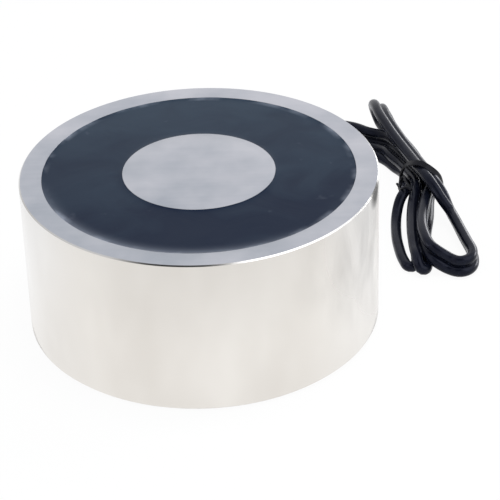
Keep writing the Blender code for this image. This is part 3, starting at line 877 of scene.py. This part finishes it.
# Routes in millimetres. The cord's rows end in the aim of its width, towards its first core
CORD_ROUTE = (
    (0.00, 34.70, 9.85, 1.00, 0.00, 0.00),
    (0.00, 37.90, 9.85, 1.00, 0.00, 0.05),
    (0.00, 41.70, 8.65, 0.95, 0.00, 0.30),
    (0.90, 46.10, 5.98, 0.75, -0.05, 0.65),
    (2.90, 51.70, 2.73, 0.30, -0.10, 0.95),
    (6.20, 57.10, 2.10, 0.00, 0.00, 1.00),
    (12.00, 62.60, 2.10, 0.00, 0.00, 1.00),
    (19.00, 65.60, 2.10, 0.00, 0.00, 1.00),
    (26.00, 65.80, 2.10, 0.00, 0.00, 1.00),
    (32.63, 63.49, 2.10, 0.00, 0.00, 1.00),
    (34.45, 61.91, 2.10, 0.00, 0.00, 1.00),
    (36.29, 60.90, 2.10, 0.00, 0.00, 1.00),
    (37.97, 59.31, 2.45, 0.00, 0.00, 1.00),
    (39.60, 55.73, 3.16, 0.10, 0.00, 1.00),
    (41.50, 50.60, 3.60, 0.30, 0.10, 0.95),
    (43.20, 46.20, 3.80, 0.50, 0.10, 0.86),
    (44.50, 41.30, 3.90, 0.60, 0.10, 0.80),
    (45.14, 36.00, 3.86, 0.41, 0.00, 0.91),
    (44.46, 32.53, 3.87, 0.20, 0.00, 0.98),
    (43.51, 27.90, 3.95, 0.00, 0.00, 1.00),
    (42.72, 23.33, 4.05, 0.00, 0.00, 1.00),
    (42.40, 18.64, 4.25, 0.00, 0.00, 1.00),
    (42.70, 14.50, 4.27, 0.00, 0.20, 0.98),
    (43.64, 11.52, 3.85, 0.00, 0.42, 0.91),
    (45.35, 10.40, 2.95, 0.00, 0.42, 0.91),
    (47.05, 9.81, 2.15, 0.00, 0.42, 0.91),
    (48.84, 8.97, 2.10, -0.05, 0.38, 0.92),
    (50.35, 9.52, 2.10, -0.08, 0.25, 0.96),
    (51.55, 11.86, 2.10, -0.15, 0.10, 0.98),
    (51.65, 13.76, 2.10, -0.20, 0.00, 0.98),
    (51.44, 15.44, 2.10, -0.30, -0.05, 0.95),
    (50.77, 19.17, 2.11, -0.33, -0.08, 0.94),
    (50.17, 22.38, 2.17, -0.35, -0.08, 0.93),
    (49.57, 25.54, 2.33, -0.38, -0.08, 0.92),
    (48.84, 28.33, 2.75, -0.42, -0.08, 0.90),
    (48.00, 29.33, 4.10, -0.50, -0.10, 0.86),
    (46.93, 30.46, 5.82, -0.66, -0.12, 0.74),
    (45.77, 32.41, 7.12, -0.74, -0.15, 0.63),
    (44.53, 36.00, 7.45, -0.78, -0.20, 0.58),
    (43.12, 40.75, 7.36, -0.79, -0.20, 0.57),
    (41.56, 45.87, 7.38, -0.80, -0.20, 0.56),
    (40.00, 50.80, 7.58, -0.80, -0.20, 0.56),
    (38.57, 55.99, 7.78, -0.80, -0.08, 0.57),
    (37.60, 60.27, 7.82, -0.82, 0.10, 0.54),
    (37.11, 64.88, 7.28, -0.84, 0.25, 0.46),
    (37.00, 67.90, 5.90, -0.90, 0.35, 0.25),
    (37.50, 69.50, 3.90, -0.95, 0.31, 0.00),
    (38.30, 69.20, 2.10, -0.97, 0.20, -0.10),
    (39.20, 66.80, 1.25, -1.00, 0.00, 0.00),
    (40.40, 62.50, 1.10, -1.00, 0.00, 0.00),
    (41.90, 58.00, 1.07, -1.00, -0.10, 0.00),
    (43.00, 54.30, 1.05, -0.98, -0.20, 0.00),
    (43.60, 51.00, 1.05, -0.98, -0.20, 0.00),
)
CORE_A_ROUTE = (
    (42.60, 50.80, 1.05),
    (43.20, 47.00, 1.05),
    (43.90, 42.00, 1.10),
    (43.40, 36.50, 1.10),
    (42.00, 31.00, 1.05),
    (41.20, 25.00, 1.05),
    (40.90, 19.00, 1.05),
    (40.90, 15.00, 1.05),
    (40.78, 13.10, 1.05),
    (40.45, 11.75, 1.05),
    (39.78, 11.05, 1.05),
    (39.05, 11.35, 1.05),
    (38.60, 12.45, 1.05),
    (38.28, 13.90, 1.05),
    (38.00, 15.80, 1.05),
    (37.85, 17.56, 1.05),
    (37.67, 20.78, 1.05),
    (37.72, 24.07, 1.05),
    (37.89, 26.99, 1.25),
    (38.21, 29.40, 2.00),
    (38.68, 31.04, 3.10),
    (39.23, 32.06, 4.10),
    (39.73, 32.76, 4.60),
    (40.22, 34.30, 4.20),
    (40.71, 36.79, 3.30),
    (41.09, 39.91, 2.35),
    (41.25, 42.98, 1.85),
    (41.03, 45.68, 1.45),
    (40.51, 47.57, 1.25),
    (39.46, 49.54, 1.08),
    (38.26, 51.91, 1.05),
    (36.68, 54.14, 1.05),
    (34.81, 55.90, 1.05),
    (29.50, 57.20, 1.05),
    (25.50, 56.00, 1.05),
    (20.00, 52.00, 1.05),
    (16.50, 47.50, 1.05),
)
CORE_B_ROUTE = (
    (44.60, 51.10, 1.05),
    (45.40, 47.00, 1.05),
    (46.10, 42.00, 1.10),
    (46.09, 40.50, 1.05),
    (45.49, 36.98, 1.05),
    (44.69, 30.21, 1.05),
    (44.21, 26.94, 1.05),
    (43.65, 23.71, 1.05),
    (43.17, 19.59, 1.05),
    (42.92, 15.52, 1.05),
    (42.88, 12.90, 1.12),
    (42.65, 10.80, 1.14),
    (42.10, 9.60, 1.25),
    (41.45, 9.35, 1.55),
    (40.98, 9.85, 2.15),
    (40.73, 11.12, 3.00),
    (40.52, 13.91, 3.20),
    (40.46, 16.93, 3.30),
    (40.50, 20.10, 3.35),
    (40.68, 23.24, 3.40),
    (40.93, 26.32, 3.50),
    (41.25, 28.91, 3.80),
    (41.70, 31.34, 4.20),
    (42.30, 33.80, 4.60),
    (42.68, 36.99, 4.60),
    (42.13, 40.58, 4.20),
    (41.14, 44.59, 3.60),
    (40.05, 48.18, 3.15),
    (38.90, 50.88, 2.95),
    (38.10, 53.40, 2.70),
    (36.60, 56.80, 1.70),
    (33.96, 59.21, 1.12),
    (30.00, 60.80, 1.05),
    (26.00, 61.20, 1.05),
    (21.00, 60.60, 1.05),
    (15.50, 57.60, 1.05),
    (11.50, 53.50, 1.05),
)
TIE_ROUTE = (
    (39.96, 40.97, 1.00),
    (39.92, 41.00, 3.10),
    (40.00, 40.45, 5.40),
    (40.37, 39.71, 6.90),
    (41.02, 38.68, 8.10),
    (42.17, 36.93, 9.30),
    (43.49, 36.02, 9.60),
    (44.74, 35.35, 9.20),
    (46.04, 35.09, 8.20),
    (47.11, 35.57, 6.60),
    (47.68, 36.48, 4.60),
    (47.70, 38.20, 2.20),
    (46.90, 38.60, 0.80),
    (44.60, 39.40, 0.55),
    (42.20, 40.20, 0.52),
    (40.50, 40.80, 0.52),
)
# The tie's two ends, and the stub of its twist
TIE_ENDS = (
    (
        (39.76, 38.30, 5.00),
        (40.17, 38.00, 5.60),
        (40.49, 35.91, 5.90),
        (40.86, 33.61, 6.10),
        (41.28, 31.84, 6.00),
    ),
    (
        (39.84, 40.37, 4.40),
        (39.34, 37.00, 4.60),
        (39.22, 33.67, 5.20),
        (39.77, 32.43, 6.20),
        (40.48, 31.85, 6.60),
        (41.10, 31.08, 6.40),
    ),
    (
        (39.33, 36.84, 3.60),
        (39.17, 37.31, 3.80),
        (38.88, 38.03, 4.00),
    ),
)


def metres(rows):
    """Route rows in millimetres with an aim after the first three numbers, in metres."""
    return [tuple(v * MM for v in row[:3]) + tuple(row[3:]) for row in rows]


def make_cord():
    """The two-core cord: from the seal round the pot, through its folds and its tie."""
    stations = smooth_route(metres(CORD_ROUTE), CORD_STEP)
    frames = frames_along(stations, [station[3:] for station in stations])
    bm = swept(twin_section(WIRE_RADIUS, CORD_WEB, 19), frames)
    cord = mesh_piece("two_core_cord", bm, [pvc], sharp=70.0)
    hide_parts("cord_lead", "cord_hank")
    return cord, [tuple(station[:3]) for station in stations]


def make_core(name, route, node_name):
    """One core after the split, out of the folds and back behind the pot."""
    stations = smooth_route(metres(route), CORD_STEP)
    bm = swept(round_section(WIRE_RADIUS, 28), frames_along(stations))
    core = mesh_piece(name, bm, [pvc], sharp=70.0)
    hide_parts(node_name)
    return core, [tuple(station) for station in stations]


def make_strands(name, node_name, path):
    """The stripped end: seven tinned strands twisted round each other."""
    tip = Vector(path[-1])
    along = (tip - Vector(path[-4])).normalized()
    side = along.cross(Vector((0.0, 0.0, 1.0))).normalized()
    rise = side.cross(along)
    bm = bmesh.new()
    steps = 32
    tucked_in = 0.2 * MM
    for k in range(7):
        points = []
        for part in range(steps + 1):
            reach = STRIPPED_LENGTH * part / steps - tucked_in
            spread = 0.0 if k == 6 else STRAND_CIRCLE
            turn = 2 * math.pi * (k / 6 + reach / STRAND_LAY)
            points.append(
                tip + along * reach + spread * (math.cos(turn) * side + math.sin(turn) * rise)
            )
        frames = frames_along(points, [rise] * len(points))
        take_in(bm, swept(round_section(STRAND_RADIUS, 10), frames))
    ends = mesh_piece(name, bm, [tinned])
    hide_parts(node_name)
    return ends


def make_tie():
    """The tie: a flat plastic band with a wire ridge, wound once and twisted at one side."""
    stations = smooth_route(metres(TIE_ROUTE + TIE_ROUTE[:2]), 0.25 * MM)
    first = Vector(TIE_ROUTE[2]) * MM
    far = Vector(TIE_ROUTE[8]) * MM
    over = Vector(TIE_ROUTE[5]) * MM
    across = (far - first).cross(over - first).normalized()
    frames = frames_along(stations, [across] * len(stations))
    half = TIE_HALF_WIDTH
    thick = TIE_HALF_THICK
    # The ridge over the wire: its foot's place, its half width and its rise
    ridge_side = 0.3 * MM
    ridge_foot = 0.16 * MM
    ridge_half = 0.28 * MM
    ridge_rise = 0.26 * MM
    section = [(-half, -thick), (half, -thick), (half, thick), (ridge_side, ridge_foot)]
    for degrees in (25, 55, 90, 125, 155):
        turn = math.radians(degrees)
        section.append((ridge_half * math.cos(turn), ridge_foot + ridge_rise * math.sin(turn)))
    section += [(-ridge_side, ridge_foot), (-half, thick)]
    bm = swept(section, frames)
    for end in TIE_ENDS:
        path = smooth_route(metres(end), 0.2 * MM)
        take_in(bm, swept(round_section(TIE_WIRE_RADIUS, 14), frames_along(path)))
    tie = mesh_piece("hank_twist_tie", bm, [tie_plastic], sharp=50.0)
    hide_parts("hank_tie")
    return tie


cord, cord_path = make_cord()
core_a, core_a_path = make_core("split_core_left", CORE_A_ROUTE, "split_core_a")
core_b, core_b_path = make_core("split_core_right", CORE_B_ROUTE, "split_core_b")
end_a = make_strands("tinned_end_left", "bare_end_a", core_a_path)
end_b = make_strands("tinned_end_right", "bare_end_b", core_b_path)
tie = make_tie()


# ---------------------------------------------------------------- the coil inside

for node_name, material in (
    ("base_insulator", paper),
    ("coil_bobbin", nylon),
    ("coil_winding", enamel),
    ("winding_tape", tape),
    ("start_lead", enamel),
    ("finish_lead", enamel),
    ("splice_sleeve_a", sleeve),
    ("splice_sleeve_b", sleeve),
    ("inner_core_a", pvc),
    ("inner_core_b", pvc),
):
    for slot in nodes[node_name].material_slots:
        slot.material = material

# ---------------------------------------------------------------- floor, light and camera


def add_tent(tree):
    """The white tent as gloss sees it: an opening in front, a grey left, a bright right."""
    view = add_node(tree, "ShaderNodeTexCoord").outputs["Generated"]
    facing = add_node(
        tree,
        "ShaderNodeVectorMath",
        {"operation": "DOT_PRODUCT", 1: (-0.19, -0.49, 0.85)},
        {0: view},
    )
    opening = add_node(
        tree,
        "ShaderNodeMapRange",
        {"From Min": 0.86, "From Max": 0.97, "To Min": 1.0, "To Max": 0.05},
        {"Value": facing.outputs["Value"]},
    )
    axes = add_node(tree, "ShaderNodeSeparateXYZ", links={"Vector": view})
    left = add_node(
        tree,
        "ShaderNodeMapRange",
        {"From Min": -0.7, "From Max": -0.35, "To Min": 0.6, "To Max": 1.0},
        {"Value": axes.outputs["X"]},
    )
    walls = add_node(
        tree,
        "ShaderNodeMath",
        {"operation": "MULTIPLY"},
        {0: opening.outputs["Result"], 1: left.outputs["Result"]},
    )
    beside = add_node(
        tree,
        "ShaderNodeVectorMath",
        {"operation": "DOT_PRODUCT", 1: (0.65, -0.23, 0.73)},
        {0: view},
    )
    right = add_node(
        tree,
        "ShaderNodeMapRange",
        {"From Min": 0.86, "From Max": 0.93, "To Min": 1.0, "To Max": 2.0},
        {"Value": beside.outputs["Value"]},
    )
    sides = add_node(
        tree,
        "ShaderNodeMath",
        {"operation": "MULTIPLY"},
        {0: walls.outputs[0], 1: right.outputs["Result"]},
    )
    rays = add_node(tree, "ShaderNodeLightPath").outputs
    level = add_node(
        tree,
        "ShaderNodeMath",
        {"operation": "MAXIMUM"},
        {0: sides.outputs[0], 1: rays["Is Camera Ray"]},
    )
    return level.outputs[0]


def add_paper_painted_light(tree):
    """The paper as gloss sees it, with painted light: warmer before the part, and less white
    further off.
    """
    place = add_node(tree, "ShaderNodeTexCoord").outputs["Object"]
    away = add_node(tree, "ShaderNodeVectorMath", {"operation": "LENGTH"}, {0: place})
    painted_falloff = add_node(
        tree,
        "ShaderNodeMapRange",
        {"From Min": 0.05, "From Max": 0.095, "To Min": 1.0, "To Max": 0.86},
        {"Value": away.outputs["Value"]},
    )
    rays = add_node(tree, "ShaderNodeLightPath").outputs
    level = add_node(
        tree,
        "ShaderNodeMath",
        {"operation": "MAXIMUM"},
        {0: painted_falloff.outputs["Result"], 1: rays["Is Camera Ray"]},
    )
    axes = add_node(tree, "ShaderNodeSeparateXYZ", links={"Vector": place})
    behind = add_node(
        tree,
        "ShaderNodeMapRange",
        {"From Min": -0.03, "From Max": 0.015, "To Min": 0.0, "To Max": 1.0},
        {"Value": axes.outputs["Y"]},
    )
    cool = add_node(
        tree,
        "ShaderNodeMath",
        {"operation": "MAXIMUM"},
        {0: behind.outputs["Result"], 1: rays["Is Camera Ray"]},
    )
    tint = add_node(tree, "ShaderNodeValToRGB", links={"Fac": cool.outputs[0]})
    tint.color_ramp.elements[0].color = linear("#F9F6F1")
    tint.color_ramp.elements[1].color = linear("#FFFFFF")
    return level.outputs[0], tint.outputs["Color"]


def white_where_seen(tree, shade, strength, output, level, tint=None):
    """Show white at a level to the camera, in metal and through glass, and shade elsewhere."""
    rays = add_node(tree, "ShaderNodeLightPath").outputs
    seen = add_node(
        tree,
        "ShaderNodeMath",
        {"operation": "MAXIMUM"},
        {0: rays["Is Camera Ray"], 1: rays["Is Glossy Ray"]},
    )
    seen = add_node(
        tree,
        "ShaderNodeMath",
        {"operation": "MAXIMUM"},
        {0: seen.outputs[0], 1: rays["Is Transmission Ray"]},
    )
    amount = add_node(
        tree, "ShaderNodeMath", {"operation": "MULTIPLY", 1: strength}, {0: seen.outputs[0]}
    )
    white = add_node(
        tree,
        "ShaderNodeEmission",
        {"Color": (1.0, 1.0, 1.0, 1.0), "Strength": 1.0},
        {"Strength": level, "Color": tint} if tint else {"Strength": level},
    )
    mixed = add_node(
        tree,
        "ShaderNodeMixShader",
        links={0: amount.outputs[0], 1: shade, 2: white.outputs[0]},
    )
    tree.links.new(mixed.outputs[0], output.inputs["Surface"])


floor_mesh = bmesh.new()
bmesh.ops.create_grid(floor_mesh, x_segments=1, y_segments=1, size=3.0)
mesh = bpy.data.meshes.new("floor")
floor_mesh.to_mesh(mesh)
floor_mesh.free()
floor = bpy.data.objects.new("floor", mesh)
bpy.context.scene.collection.objects.link(floor)
floor_white, floor_tree, floor_shader = finish(
    "white_sweep_paper", Base_Color=linear("#FDFDFD"), Roughness=0.9, Specular_IOR_Level=0.0
)
white_where_seen(
    floor_tree,
    floor_shader.outputs[0],
    FLOOR_WHITE,
    floor_tree.nodes["Material Output"],
    *add_paper_painted_light(floor_tree),
)
mesh.materials.append(floor_white)

world = bpy.data.worlds.new("studio")
bpy.context.scene.world = world
world.use_nodes = True
# The sky lights the part's dull surfaces; the camera and gloss see the tent in its place
sky = world.node_tree.nodes["Background"]
sky.inputs["Color"].default_value = (0.95, 0.97, 1.0, 1.0)
sky.inputs["Strength"].default_value = 0.62
room = add_tent(world.node_tree)
white_where_seen(
    world.node_tree, sky.outputs[0], 1.0, world.node_tree.nodes["World Output"], room
)


def soft_lamp(name, place, aim, size, power):
    """A square soft box at a place in metres, turned to its aim."""
    lamp = bpy.data.lights.new(name, "AREA")
    lamp.shape = "SQUARE"
    lamp.size = size
    lamp.energy = power
    holder = bpy.data.objects.new(name, lamp)
    bpy.context.scene.collection.objects.link(holder)
    holder.location = place
    holder.rotation_euler = (Vector(aim) - Vector(place)).to_track_quat("-Z", "Y").to_euler()
    return holder


# The two boxes that light the part; gloss takes its lights from the tent and the glints
for name, place, aim, size, power in (
    ("top_box", (0.05, 0.0, 0.7), (0.02, 0.0, 0.0), 0.3, 2.0),
    ("right_box", (0.55, 0.2, 0.3), (0.03, 0.03, 0.0), 0.25, 1.0),
):
    soft_lamp(name, place, aim, size, power).visible_glossy = False
# Two small boxes that only gloss shows, for the lights along the cord
for name, place, size, power in (
    ("right_glint", (0.5, 0.3, 0.03), 0.2, 1.0),
    ("back_glint", (0.33, 0.5, 0.04), 0.24, 0.9),
):
    soft_lamp(name, place, (0.043, 0.035, 0.0), size, power).visible_diffuse = False

# The picture's camera, in metres: 0.39 m from the pole face, looking down on it
camera_place = (0.008777, -0.335109, 0.219472)
elevation = math.radians(31.665)
roll = math.radians(1.792)
look = Vector((0.0, math.cos(elevation), -math.sin(elevation)))
right = Vector((1.0, 0.0, 0.0))
upward = Vector((0.0, math.sin(elevation), math.cos(elevation)))
camera_x = math.cos(roll) * right - math.sin(roll) * upward
camera_y = math.sin(roll) * right + math.cos(roll) * upward
camera_data = bpy.data.cameras.new("camera")
camera_data.sensor_width = 36.0
camera_data.lens = 153.42
camera_data.clip_start = 0.01
camera_data.clip_end = 20.0
camera = bpy.data.objects.new("camera", camera_data)
bpy.context.scene.collection.objects.link(camera)
camera.matrix_world = Matrix(
    (
        (camera_x.x, camera_y.x, -look.x, camera_place[0]),
        (camera_x.y, camera_y.y, -look.y, camera_place[1]),
        (camera_x.z, camera_y.z, -look.z, camera_place[2]),
        (0.0, 0.0, 0.0, 1.0),
    )
)
bpy.context.scene.camera = camera
bpy.context.scene.view_settings.view_transform = "Standard"
